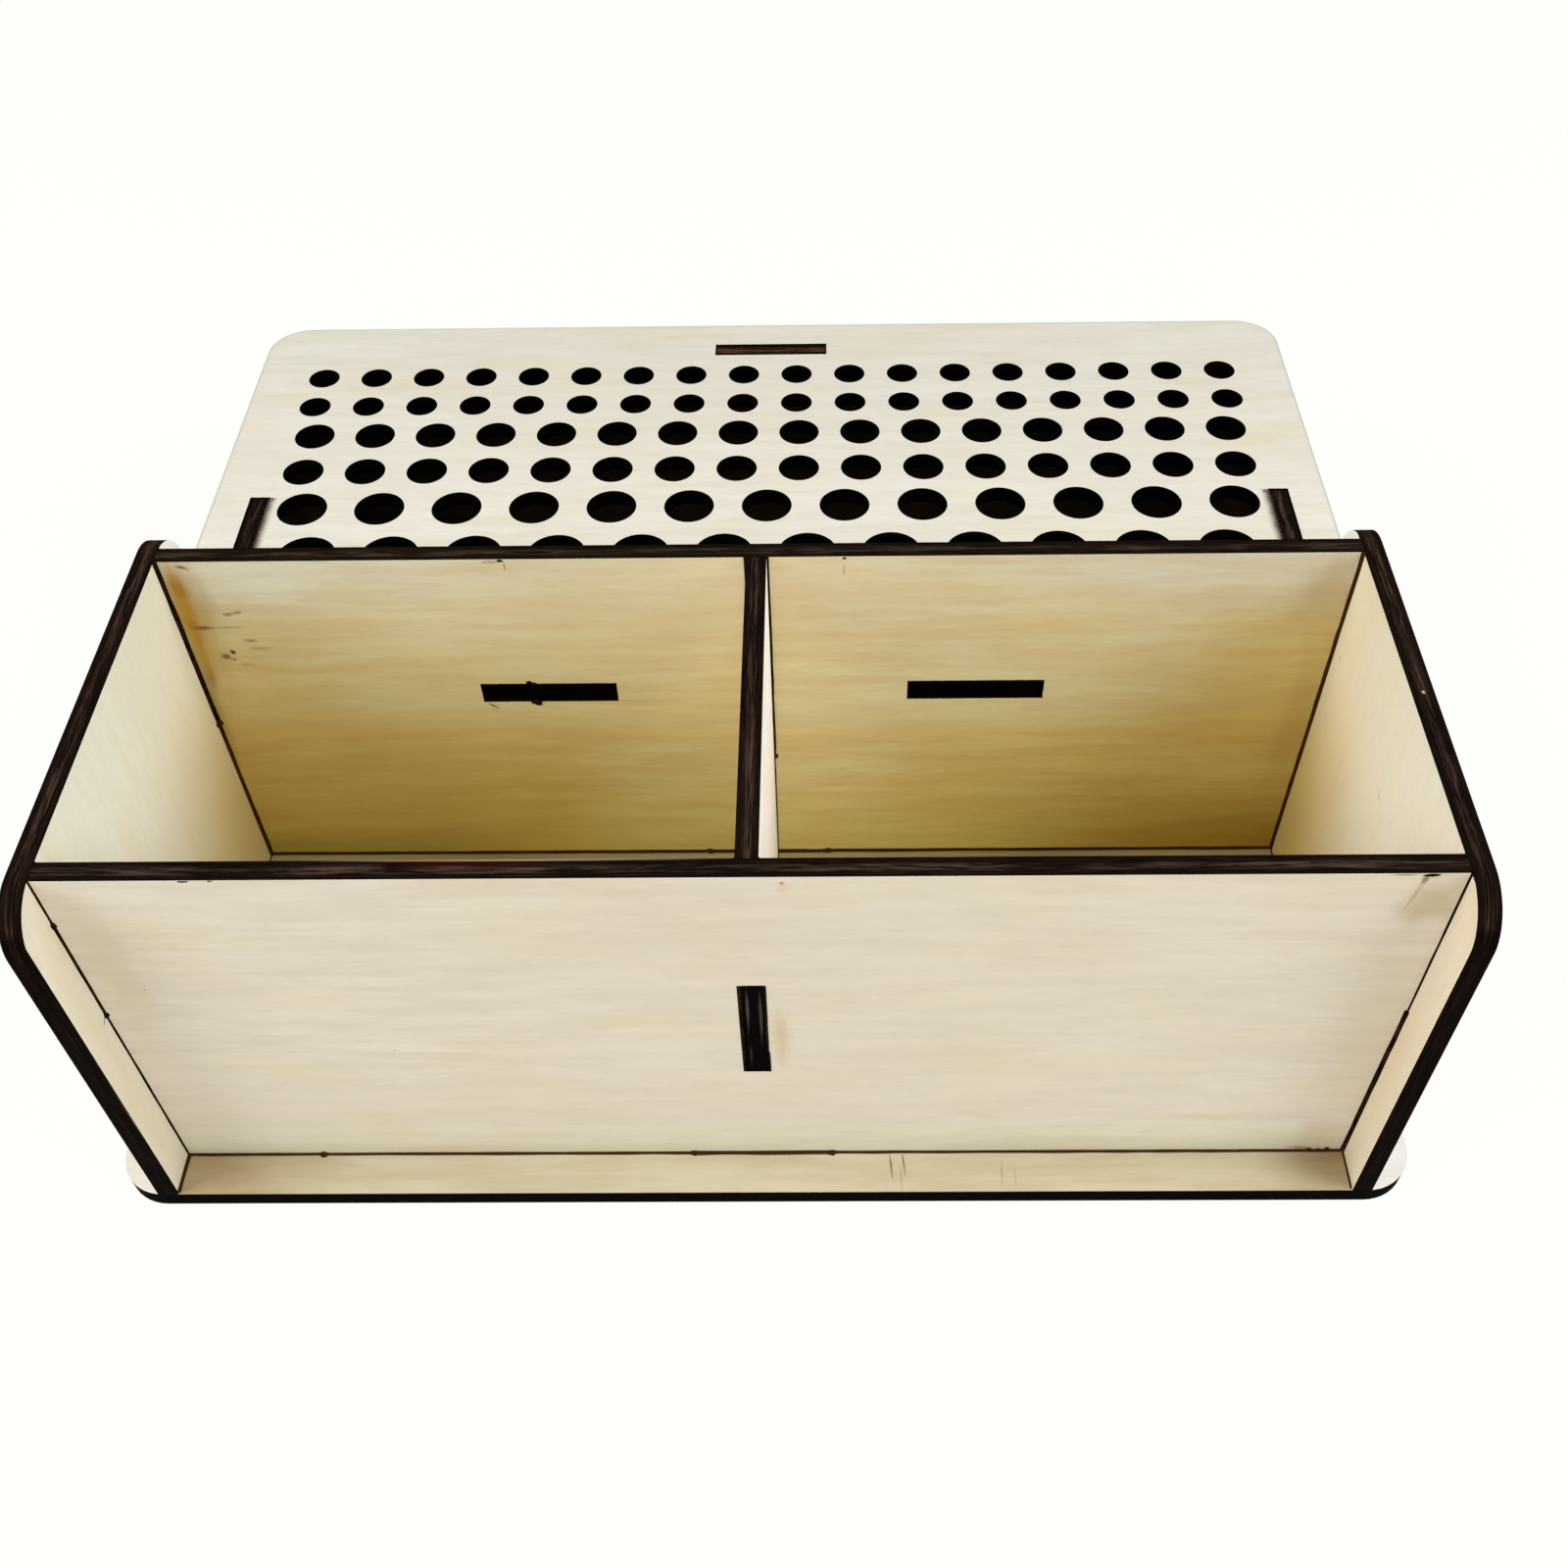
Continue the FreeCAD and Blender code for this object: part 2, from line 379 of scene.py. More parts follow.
def burnt_plies(graph, place, sheet, upward):
    """Dark char with a browner, fibrous middle ply between dark glue lines."""
    depth = graph.mul(graph.sub(place[sheet.across], sheet.middle), 1.0 / THICKNESS)
    drawn = [graph.mul(c, 0.11) for c in place]
    drawn[sheet.across] = graph.mul(place[sheet.across], 2.6)
    fibre = graph.noise(graph.combine(*drawn), 1.0, 5.0, 0.68)
    patch = graph.noise(graph.combine(*place), 0.07, 3.0, 0.6)
    wave = graph.mul(graph.sub(graph.noise(graph.combine(*place), 0.09, 2.0), 0.5), 0.14)
    off = graph.size(graph.sub(depth, graph.add(wave, -0.02)))
    ply = graph.ramp(off, 0.36, 0.08)
    glue = graph.mul(graph.ramp(off, 0.16, 0.22), graph.ramp(off, 0.32, 0.24))
    colour = graph.mix(graph.ramp(fibre, 0.34, 0.7), CHAR_DARK, CHAR)
    pale = graph.mul(ply, graph.ramp(fibre, 0.42, 0.62, 0.04, 0.85))
    pale = graph.mul(pale, graph.ramp(patch, 0.32, 0.66, 0.25, 1.0))
    # Painted light: the pale middle ply shows most on edges that look up.
    pale = graph.mul(pale, graph.add(graph.mul(upward, 0.75), 0.25))
    colour = graph.mix(pale, colour, sheet.streak)
    colour = graph.mix(graph.mul(glue, 0.4), colour, SOOT_AND_SHADE)
    return graph.mix(graph.ramp(graph.size(depth), 0.42, 0.5, 0.0, 0.8), colour, CHAR_DARK), fibre


def specked(graph, place, colour, specks, seed, limit=1.0):
    """Small marks on an edge, held inside a limiting mask."""
    for paint, axes, middle, size, strength in specks:
        mask = graph.blot(place[axes[0]], place[axes[1]], middle, size, 0, seed)
        colour = graph.mix(graph.mul(graph.mul(mask, limit), strength), colour, paint)
    return colour


def char(graph, place, sheet):
    """Laser-cut edge: its burnt plies, with painted shade where it doesn't look up, near-black inner cuts,
    painted shade and glints on sunk tab ends, and chips.
    """
    upward = graph.ramp(graph.looking(Z), 0.4, 0.6)
    colour, fibre = burnt_plies(graph, place, sheet, upward)
    # Painted shade: edges that don't look up go darker, besides the sheet's own burn.
    burn = graph.most(graph.mul(graph.sub(1.0, upward), 0.5), sheet.burn)
    colour = graph.mix(burn, colour, SOOT_AND_SHADE)
    colour = specked(graph, place, colour, sheet.chips, CHIP_SEED)
    # The cuts inside the outline go near black.
    if sheet.dark_inner_cuts:
        inside = inside_outline(graph, place, sheet)
        colour = graph.mix(graph.ramp(inside, 1.0, 2.0), colour, SOOT_AND_SHADE)
    # Painted shade: tab ends sunk in a slot go near black, with painted glints on them.
    if sheet.shaded_before is not None:
        limit = sheet.shaded_before
        shaded_tab_end = graph.ramp(place[Y], limit + EDGE_BLUR, limit)
        colour = graph.mix(graph.mul(shaded_tab_end, 0.94), colour, SOOT_AND_SHADE)
        colour = specked(graph, place, colour, sheet.glints, GLINT_SEED, shaded_tab_end)
    return colour, fibre


def banding(graph, bands, clear=0.0, full=1.0):
    """Contrast of the soft bands along the grain."""
    return graph.ramp(bands, 0.32, 0.7, clear, full)


def gentle(paint):
    """A colour's hue as a faint tint."""
    brightest = max(paint[:3])
    return tuple((c / brightest) ** TINT_GAIN for c in paint[:3]) + (1.0,)


def wood(graph, place, sheet):
    """Planed face: pale veneer with fine fibres, soft bands and faint changes of tint."""
    along = place[sheet.grain]
    aside = place[sheet.other]
    depth = place[sheet.across]
    clouds = graph.noise(graph.combine(graph.mul(along, 0.4), aside, depth), 0.022, 2.0)
    fine = sheet.fineness
    bands = graph.noise(graph.combine(graph.mul(along, 0.12), aside, depth), 0.34 * fine, 4.0, 0.6, 0.2)
    fibres = graph.noise(graph.combine(graph.mul(along, 0.2), aside, depth), 1.3, 3.0, 0.6)
    warm = graph.noise(graph.combine(graph.mul(along, 0.45), aside, graph.add(depth, 40.0)), 0.055, 3.0)
    cool = graph.noise(graph.combine(graph.mul(along, 0.45), aside, graph.add(depth, 90.0)), 0.07, 3.0)
    colour = graph.mix(banding(graph, bands), sheet.tone, sheet.shade)
    colour = graph.mix(graph.ramp(clouds, 0.4, 0.65, 0.0, 0.4), colour, sheet.shade)
    for value, paint in ((warm, PINK), (cool, GREEN)):
        colour = graph.tinted(colour, gentle(paint), graph.ramp(value, 0.48, 0.72, 0.0, 0.6))
    return graph.scaled(colour, graph.ramp(fibres, 0.3, 0.7, 0.98, 1.015)), bands, fibres


def inside_outline(graph, place, sheet):
    """How far a point lies inside the rectangle round the sheet."""
    u, v = place[sheet.grain], place[sheet.other]
    (u0, u1), (v0, v1) = sheet.spans()
    outline = graph.beyond_box(u, v, (u0 + u1) / 2, (v0 + v1) / 2, (u1 - u0) / 2, (v1 - v0) / 2)
    return graph.mul(outline, -1.0)


def to_slot(graph, place, sheet):
    """Distance on the face to the nearest slot's edge, FAR where there is none."""
    u, v = place[sheet.grain], place[sheet.other]
    distance = FAR
    for middle_u, middle_v, size_u, size_v in sheet.slots:
        half_u = size_u / 2 + SLOT_PLAY
        half_v = size_v / 2 + SLOT_PLAY
        distance = graph.least(distance, graph.beyond_box(u, v, middle_u, middle_v, half_u, half_v))
    return distance


def in_bay(graph, place):
    """1 on surfaces that bound the closed space under the rack plate."""
    side = graph.ramp(graph.size(place[X]), HALF_INNER + EDGE_BLUR, HALF_INNER)
    front = graph.ramp(place[Y], WALL_BACK - EDGE_BLUR, WALL_BACK)
    back = graph.ramp(place[Y], REAR_FACE + EDGE_BLUR, REAR_FACE)
    top = graph.ramp(place[Z], PLATE_UNDERSIDE + EDGE_BLUR, PLATE_UNDERSIDE)
    bottom = graph.ramp(place[Z], FLOOR - EDGE_BLUR, FLOOR)
    return graph.mul(graph.mul(graph.mul(side, front), graph.mul(back, top)), bottom)


def marked_face(graph, place, sheet):
    """Planed face with the sheet's tints and blots, and a plain tone on its unmarked side."""
    u, v = place[sheet.grain], place[sheet.other]
    plain, bands, fibres = wood(graph, place, sheet)
    colour = plain
    for tint in sheet.tints:
        colour = tint(graph, place, colour, bands)
    for seed, (paint, middle, size, angle, strength) in enumerate(sheet.blots):
        mask = graph.mul(graph.blot(u, v, middle, size, angle, seed * BLOT_SEED_STEP), strength)
        colour = graph.mix(mask, colour, paint)
    if sheet.marked:
        towards = graph.mul(graph.sub(place[sheet.across], sheet.middle), sheet.marked)
        colour = graph.mix(graph.ramp(towards, -0.5, 0.5), graph.tinted(plain, sheet.plain_tint), colour)
    return colour, bands, fibres


def rimmed(graph, place, sheet, colour):
    """Face with a ragged scorched rim at each slot, and painted shade in the closed bay, darker towards its
    back.
    """
    ragged = graph.mul(graph.sub(graph.noise(graph.combine(*place), 0.9, 3.0), 0.5), 0.16)
    distance = graph.add(to_slot(graph, place, sheet), ragged)
    colour = graph.mix(graph.ramp(distance, *SCORCH_RIM), colour, SCORCH)
    colour = graph.mix(graph.ramp(distance, *SOOT_RIM), colour, SOOT_AND_SHADE)
    # Painted shade: every face in the closed bay takes a dim colour, darker deeper in.
    deep = graph.ramp(place[Y], WALL_BACK + BAY_FADE[0], WALL_BACK + BAY_FADE[1])
    painted_bay_shade = graph.mix(deep, BAY_SHADE, BAY_DEEP_SHADE)
    return graph.mix(in_bay(graph, place), colour, painted_bay_shade)


def plywood(sheet):
    """The finished material of one sheet: planed faces, scorched rims and burnt edges."""
    graph = Graph(sheet.node + "_plywood")
    place = graph.position()
    face = graph.facing(sheet.across)
    colour, bands, fibres = marked_face(graph, place, sheet)
    colour = rimmed(graph, place, sheet, colour)
    edge, strands = char(graph, place, sheet)
    colour = graph.mix(face, edge, colour)
    height = graph.mul(graph.add(fibres, graph.mul(bands, BAND_HEIGHT)), face)
    rough_edge = graph.mul(graph.mul(strands, graph.sub(1.0, face)), EDGE_HEIGHT)
    height = graph.add(height, rough_edge)
    roughness = graph.ramp(fibres, 0.3, 0.7, *FACE_ROUGHNESS)
    return graph.finish(colour, roughness, height)


def dress(sheet):
    """Give a CAD sheet its plywood."""
    made = frame["nodes"][sheet.node]
    made.data.materials.clear()
    made.data.materials.append(plywood(sheet))


# ---------------------------------------------------------------- sheets

WALL_GAIN = 1.0 / 0.83
# Tints that multiply a face's colour where it is lighter, darker or warmer than the sheet; those named light
# or shade are painted light and painted shade.
RIGHT_BIN_LIGHT = (1.12, 1.21, 1.45, 1.0)
RIGHT_FOOT_LIGHT = (1.03, 1.09, 1.38, 1.0)
LEFT_FOOT_LIGHT = (1.0, 1.14, 1.6, 1.0)
RIGHT_CORNER_SHADE = (0.68, 0.6, 0.42, 1.0)
LEFT_CORNER_SHADE = (0.74, 0.77, 0.72, 1.0)
SIDE_YELLOW = (1.0, 0.91, 0.66, 1.0)
TOP_CORNER_LIGHT = (1.03, 1.09, 1.26, 1.0)
FRONT_FOOT_GREEN = (1.03, 1.09, 1.05, 1.0)
LEDGE_LEFT_SHADE = (0.68, 0.58, 0.44, 1.0)
LEDGE_RIGHT_SHADE = (0.5, 0.38, 0.22, 1.0)
SIDE_FRONT_SHADE = (0.78, 0.72, 0.66, 1.0)


def painted_wall_shade(graph, place, colour, bands):
    """Painted shade: the wall darkens from cream at its rim to gold at its foot, and a little away from the
    divider.
    """
    height = graph.add(place[Z], graph.mul(graph.sub(bands, 0.5), 14.0))
    shade_tint = graph.gradient(height, WALL_SHADE_STOPS)
    far = graph.ramp(graph.size(place[X]), 60.0, 112.0, 0.0, 0.1)
    bright = graph.mul(graph.sub(1.0, far), WALL_GAIN)
    return graph.tinted(graph.scaled(colour, bright), shade_tint)


def wall_light_and_shade(graph, place, colour, bands):
    """Painted light and shade on the wall: paler beside the divider, darker or yellower in its far corners.
    """
    across = place[X]
    reach = graph.size(across)
    right = graph.mul(graph.ramp(across, -4.0, 6.0), graph.ramp(across, 92.0, 44.0))
    colour = graph.tinted(colour, RIGHT_BIN_LIGHT, graph.mul(right, graph.ramp(place[Z], 78.0, 46.0)))
    foot_part = graph.ramp(place[Z], 56.0, 32.0)
    for outer, tint in ((44.0, RIGHT_FOOT_LIGHT), (-52.0, LEFT_FOOT_LIGHT)):
        beside = graph.mul(graph.ramp(across, outer, outer * 0.4), graph.ramp(across, -outer * 0.1, 0.0))
        colour = graph.tinted(colour, tint, graph.mul(beside, foot_part))
    corner = graph.mul(graph.ramp(across, 48.0, 108.0), graph.ramp(place[Z], 32.0, 6.0))
    colour = graph.tinted(colour, RIGHT_CORNER_SHADE, corner)
    corner = graph.mul(graph.ramp(across, -50.0, -90.0), graph.ramp(place[Z], 17.0, 5.0))
    colour = graph.tinted(colour, LEFT_CORNER_SHADE, corner)
    yellow = graph.mul(graph.ramp(place[Z], 84.0, 74.0), graph.ramp(place[Z], 36.0, 52.0))
    yellow = graph.mul(yellow, graph.ramp(reach, 78.0, 106.0))
    yellow = graph.mul(yellow, graph.ramp(across, -1.0, 1.0, 0.5, 1.0))
    colour = graph.tinted(colour, SIDE_YELLOW, yellow)
    pale = graph.mul(graph.ramp(reach, 42.0, 84.0), graph.ramp(place[Z], 78.0, 90.0))
    return graph.tinted(colour, TOP_CORNER_LIGHT, pale)


def front_foot(graph, place, colour, bands):
    """The front panel turns a little greener at its foot."""
    return graph.tinted(colour, FRONT_FOOT_GREEN, graph.ramp(place[Z], 20.0, 8.0))


def base_tones(graph, place, colour, bands):
    """Base between the side panels: an olive ledge in front with painted shade at its ends, and a golden
    floor in the bins with painted shade darkening it towards the wall.
    """
    across = graph.size(place[X])
    inside = graph.ramp(across, HALF_OUTER, HALF_INNER)
    tone = graph.mix(banding(graph, bands), LEDGE, LEDGE_SHADE)
    tone = graph.tinted(tone, LEDGE_LEFT_SHADE, graph.ramp(place[X], -78.0, -119.0))
    ledge_end_shade = graph.ramp(place[Y], -HALF_DEPTH, FRONT_FACE, 0.55, 1.0)
    ledge_end_shade = graph.mul(ledge_end_shade, graph.ramp(place[X], 97.0, 117.0))
    tone = graph.tinted(tone, LEDGE_RIGHT_SHADE, ledge_end_shade)
    bins = graph.mul(graph.ramp(place[Y], FRONT_FACE, FRONT_BACK), graph.ramp(place[Y], WALL_BACK, WALL_FACE))
    shaded_bin_floor = graph.mix(graph.ramp(place[Y], WALL_FACE - 34.0, WALL_FACE - 6.0), BIN_FLOOR_OPEN, BIN_FLOOR_SHADED)
    tone = graph.mix(bins, tone, graph.scaled(shaded_bin_floor, banding(graph, bands, 1.03, 0.94)))
    return graph.mix(graph.mul(inside, 0.96), colour, tone)


def side_tones(warm):
    """Side panel: painted shade in front of the front panel, warm painted shade towards the foot of the wall,
    painted light behind it.
    """
    def tones(graph, place, colour, bands):
        colour = graph.tinted(colour, SIDE_FRONT_SHADE, graph.ramp(place[Y], FRONT_BACK, FRONT_FACE))
        to_wall = graph.ramp(place[Y], WALL_FACE - 60.0, WALL_FACE - 6.0)
        to_floor = graph.ramp(place[Z], RIM - 6.0, FLOOR + 16.0, 0.2, 1.0)
        in_bin = graph.ramp(place[Y], WALL_BACK, WALL_FACE)
        mask = graph.mul(graph.mul(to_wall, to_floor), graph.mul(in_bin, 0.86))
        colour = graph.mix(mask, colour, warm)
        behind = graph.mul(graph.ramp(place[Y], WALL_BACK, WALL_BACK + 1.0), 0.8)
        return graph.mix(behind, colour, OPEN_AIR_LIGHT)
    return tones


def burnt_front(graph, place, colour, bands):
    """Char that has crept round the front edge of a side panel."""
    mask = graph.ramp(place[Y], 0.55 - HALF_DEPTH, 0.35 - HALF_DEPTH)
    return graph.mix(mask, colour, CHAR_DARK)


def burnt_top(graph, place, colour, bands):
    """Char that has crept round the top edge of a side panel."""
    mask = graph.ramp(place[Z], RIM - 0.5, RIM - 0.3)
    return graph.mix(mask, colour, CHAR_DARK)


def past_outline(graph, place):
    """Distance outwards from the rack plate's rounded outline, negative inside it."""
    over_x = graph.sub(graph.size(place[X]), HALF_WIDTH - CORNER_RADIUS)
    over_y = graph.sub(place[Y], HALF_DEPTH - CORNER_RADIUS)
    corner_x = graph.math("POWER", graph.most(over_x, 0.0), 2.0)
    corner_y = graph.math("POWER", graph.most(over_y, 0.0), 2.0)
    round_part = graph.math("SQRT", graph.add(corner_x, corner_y))
    inner_part = graph.least(graph.most(over_x, over_y), 0.0)
    return graph.sub(graph.add(round_part, inner_part), CORNER_RADIUS)


def rack_tones(graph, place, colour, bands):
    """Rack plate: brighter towards its front, darker brown beside its side slots, grey at its outline."""
    colour = graph.scaled(colour, graph.ramp(place[Y], HALF_DEPTH, WALL_BACK, 0.98, 1.09))
    beyond = past_outline(graph, place)
    colour = graph.mix(graph.ramp(beyond, -0.8, -0.2, 0.0, 0.75), colour, RACK_OUTLINE)
    across = graph.size(place[X])
    slot_edge = HALF_INNER - SLOT_PLAY
    aside = graph.add(graph.sub(slot_edge, across), graph.mul(graph.sub(bands, 0.5), 1.2))
    soft = graph.math("POWER", graph.ramp(aside, 2.6, 0.1), 1.8)
    inner_side = graph.ramp(across, slot_edge + 0.3, slot_edge + 0.1)
    slot_end = SIDE_SLOT_PLACE + TAB / 2
    beside = graph.ramp(place[Y], slot_end + 0.6, slot_end - 1.0)
    return graph.mix(graph.mul(graph.mul(soft, beside), graph.mul(inner_side, 0.95)), colour, RACK_SLOT_BROWN)


def base_sheet():
    sheet = Sheet("base_plate", Z, X, BASE_TONE, BASE_SHADE)
    for face in (FRONT_FACE, WALL_FACE, REAR_FACE):
        sheet.slots.append((0.0, face + HALF_THICKNESS, TAB, THICKNESS))
    sheet.burn = 0.95
    sheet.marked = 1
    sheet.tints = [base_tones]
    sheet.blots = [
        # Painted shade at the ledge's left end, beside the left side panel.
        (linear(160, 130, 98), (-106.5, -106.2), (10.0, 3.2), 0, 0.35),
        (BROWN, (26.0, -104.6), (0.34, 4.2), 4, 0.8),
        (BROWN, (28.6, -104.4), (0.3, 3.8), 5, 0.8),
        (BROWN, (28.0, -107.6), (0.2, 4.0), 0, 0.4),
        (BROWN, (48.3, -106.6), (0.3, 4.0), -2, 0.45),
        (BROWN, (51.0, -107.6), (0.2, 3.0), 0, 0.35),
    ]
    return sheet


def front_sheet():
    sheet = Sheet("front_panel", Y, X, CREAM, CREAM_SHADE)
    sheet.slots.append((0.0, FRONT_SLOT_HEIGHT, THICKNESS, TAB))
    sheet.dark_inner_cuts = True
    sheet.streak = linear(82, 66, 54)
    sheet.marked = -1
    sheet.tints = [front_foot]
    sheet.chips = [
        (linear(58, 16, 8), (X, Y), (-46.0, FRONT_BACK - 1.2), (16.0, 1.1), 0.4),
        (linear(176, 146, 118), (X, Y), (-40.0, FRONT_BACK), (40.0, 0.5), 0.8),
    ]
    sheet.blots = [
        (linear(168, 118, 62), (5.8, 93.3), (0.6, 0.6), 0, 0.9),
        (linear(214, 176, 130), (6.0, 92.1), (1.8, 1.6), 0, 0.4),
        (linear(196, 180, 138), (4.6, 46.0), (2.6, 13.0), 0, 0.6),
        (linear(118, 86, 50), (110.8, 93.4), (0.8, 2.0), -14, 0.85),
        (linear(176, 148, 98), (110.1, 89.2), (0.8, 5.4), -9, 0.7),
        (linear(136, 110, 80), (107.4, 94.6), (3.6, 0.4), 0, 0.7),
        (BROWN, (-108.4, 63.5), (0.35, 0.3), 0, 0.8),
        (BROWN, (-67.8, 43.1), (0.35, 0.3), 0, 0.6),
        (linear(190, 140, 96), (114.4, 9.2), (0.5, 0.5), 0, 0.5),
        (linear(120, 84, 50), (109.2, 4.9), (2.4, 0.4), 0, 0.7),
        # The next four: painted shade down both ends of the face, where it meets the side panels.
        (linear(200, 188, 152), (-112.1, 66.7), (6.0, 32.0), 0, 0.4),
        (linear(204, 196, 162), (112.0, 51.1), (7.0, 40.0), 0, 0.35),
        (linear(180, 158, 104), (113.6, 88.0), (7.0, 10.0), 0, 0.5),
        (linear(196, 166, 118), (112.0, 10.0), (8.0, 9.0), 0, 0.35),
        (linear(140, 100, 60), (108.6, 5.4), (3.4, 0.8), 0, 0.5),
    ]
    return sheet


def wall_sheet():
    sheet = Sheet("bin_back_wall", Y, X, NEUTRAL, NEUTRAL_SHADE)
    for side in (-1, 1):
        middle = PLATE_UNDERSIDE + HALF_THICKNESS - WALL_SLOT_DROP
        sheet.slots.append((side * WALL_SLOT_OFFSET, middle, TAB, THICKNESS + WALL_SLOT_GROWTH))
    sheet.dark_inner_cuts = True
    sheet.streak = linear(66, 58, 42)
    sheet.marked = -1
    sheet.plain_tint = (0.87, 0.78, 0.65, 1.0)
    sheet.tints = [painted_wall_shade, wall_light_and_shade]
    sheet.blots = [
        (linear(176, 144, 74), (-114.4, 78.0), (7.0, 32.0), 0, 0.55),
        (linear(150, 112, 46), (-117.4, 56.0), (2.4, 22.0), 0, 0.5),
        (AMBER, (-115.4, 78.0), (3.2, 23.0), 0, 0.9),
        (linear(166, 122, 36), (-115.0, 88.0), (2.4, 4.0), 0, 0.6),
        (linear(196, 138, 60), (-115.0, 75.0), (1.4, 2.6), 0, 0.6),
        (linear(162, 120, 34), (-115.1, 78.0), (1.5, 1.8), 0, 0.6),
        (linear(158, 116, 46), (-115.8, 63.5), (1.8, 5.0), 0, 0.6),
        (BROWN, (-107.2, 81.0), (1.7, 0.7), 0, 0.6),
        (BROWN, (-105.2, 81.5), (1.6, 0.7), 14, 0.65),
        (BROWN, (-113.2, 77.3), (2.8, 0.8), 0, 0.8),
        (BROWN, (-108.0, 77.4), (5.0, 0.5), 0, 0.3),
        (BROWN, (-104.6, 73.7), (2.2, 0.7), -8, 0.5),
        (BROWN, (-103.0, 71.6), (2.8, 0.8), 0, 0.35),
        (BROWN, (-106.8, 66.8), (3.0, 0.8), -6, 0.25),
        (DARK_KNOT, (-109.0, 70.5), (0.95, 0.8), -35, 1.0),
        (BROWN, (-110.7, 69.2), (1.5, 1.2), -20, 0.75),
        (BROWN, (-109.3, 68.4), (0.8, 0.7), 0, 0.7),
        (BROWN, (-112.8, 93.5), (1.9, 0.7), -22, 0.9),
        # Painted shade at the wall's right end, beside the right side panel.
        (linear(190, 160, 104), (113.0, 86.0), (9.0, 17.0), 0, 0.4),
        (linear(150, 118, 84), (-51.9, 94.3), (2.8, 0.6), 0, 0.6),
        (linear(140, 102, 68), (-49.4, 93.2), (0.3, 1.6), 0, 0.7),
        (linear(176, 132, 92), (17.1, 91.6), (0.28, 1.9), 0, 0.6),
        (BROWN, (-28.8, 55.3), (2.4, 0.16), 0, 0.5),
        # Painted shade at the wall's right end, beside the right side panel.
        (linear(170, 140, 78), (113.5, 50.0), (5.0, 36.0), 0, 0.25),
    ]
    return sheet


def rack_sheet():
    sheet = Sheet("rack_plate", Z, X, RACK_TONE, RACK_SHADE)
    sheet.slots.append((0.0, REAR_FACE + HALF_THICKNESS, TAB, THICKNESS))
    for side in (-1, 1):
        middle = side * (HALF_INNER + HALF_THICKNESS)
        sheet.slots.append((middle, SIDE_SLOT_PLACE, THICKNESS, TAB))
        slot_brown_place = (side * (HALF_INNER - 0.8), SIDE_SLOT_PLACE + TAB / 2 - 0.4)
        sheet.blots.append((RACK_SLOT_BROWN, slot_brown_place, (1.5, 1.0), 0, 0.8))
    sheet.tints = [rack_tones]
    sheet.fineness = 1.2
    sheet.dark_inner_cuts = True
    # Painted shade on the plate's front tabs sunk in the bin wall's slots.
    sheet.shaded_before = WALL_BACK
    return sheet


def divider_sheet():
    sheet = Sheet("bin_divider", X, Y, DIVIDER_TONE, DIVIDER_SHADE)
    sheet.streak = linear(84, 64, 52)
    # Painted shade on the divider's tab end sunk in the front panel's slot, with painted glints on it.
    sheet.shaded_before = FRONT_BACK - 0.1
    sheet.glints = [
        (linear(84, 74, 72), (X, Z), (-1.25, 56.0), (0.42, 9.0), 0.7),
        (linear(84, 72, 64), (X, Z), (1.1, 54.0), (0.42, 11.0), 0.7),
        (linear(50, 44, 50), (X, Z), (-1.1, 41.0), (0.4, 5.0), 0.6),
    ]
    return sheet


def rear_sheet():
    sheet = Sheet("rack_rear_panel", Y, X, CREAM, CREAM_SHADE)
    sheet.streak = linear(128, 92, 58)
    return sheet


def left_sheet():
    sheet = Sheet("left_side_panel", X, Z, LEFT_TONE, LEFT_SHADE)
    sheet.marked = 1
    sheet.plain_tint = (0.86, 0.8, 0.74, 1.0)
    sheet.tints = [side_tones(LEFT_WARM_SHADE), burnt_front]
    sheet.blots = [
        # Painted shade on the strip in front of the front panel.
        (linear(206, 190, 156), (40.9, -106.2), (40.0, 5.0), 0, 0.3),
        (BROWN, (55.4, -102.7), (1.3, 0.3), 63, 0.9),
    ]
    return sheet


def right_sheet():
    sheet = Sheet("right_side_panel", X, Z, RIGHT_TONE, RIGHT_SHADE)
    sheet.marked = -1
    sheet.plain_tint = (0.84, 0.81, 0.78, 1.0)
    sheet.tints = [side_tones(RIGHT_WARM_SHADE), burnt_top]
    sheet.blots = [
        # Painted shade on the strip in front of the front panel.
        (linear(206, 190, 156), (41.2, -106.0), (40.0, 5.0), 0, 0.3),
        (BROWN, (69.2, -62.6), (1.5, 0.22), 50, 0.8),
        (BROWN, (70.4, -27.0), (0.6, 1.1), 0, 0.35),
    ]
    sheet.chips = [(linear(200, 164, 134), (Y, X), (-60.5, 120.0), (0.6, 0.42), 1.0)]
    return sheet


for described in (
    base_sheet,
    front_sheet,
    wall_sheet,
    rack_sheet,
    rear_sheet,
    divider_sheet,
    left_sheet,
    right_sheet,
):
    dress(described())


# ---------------------------------------------------------------- burnt seams

SEAM_SEED = 11
CRUMB_SEED = 5


def soot_material():
    """Dull brown-black soot, browner along the floor and at the foot of the bin wall."""
    graph = Graph("seam_soot")
    place = graph.position()
    patch = graph.noise(graph.combine(*place), 0.35, 3.0)
    colour = graph.mix(graph.ramp(patch, 0.35, 0.7), linear(14, 8, 5), linear(44, 27, 15))
    at_wall = graph.ramp(place[Y], WALL_FACE - 8.0, WALL_FACE - 4.0)
    low_part = graph.most(graph.ramp(place[Z], 50.0, 40.0), graph.ramp(place[X], 100.0, 110.0))
    brown = graph.most(graph.mul(at_wall, low_part), graph.ramp(place[Z], FLOOR + 2.0, FLOOR + 1.2))
    colour = graph.mix(graph.mul(brown, 0.85), colour, linear(62, 38, 12))
    return graph.finish(colour, graph.ramp(patch, 0.3, 0.7, 0.8, 0.95))


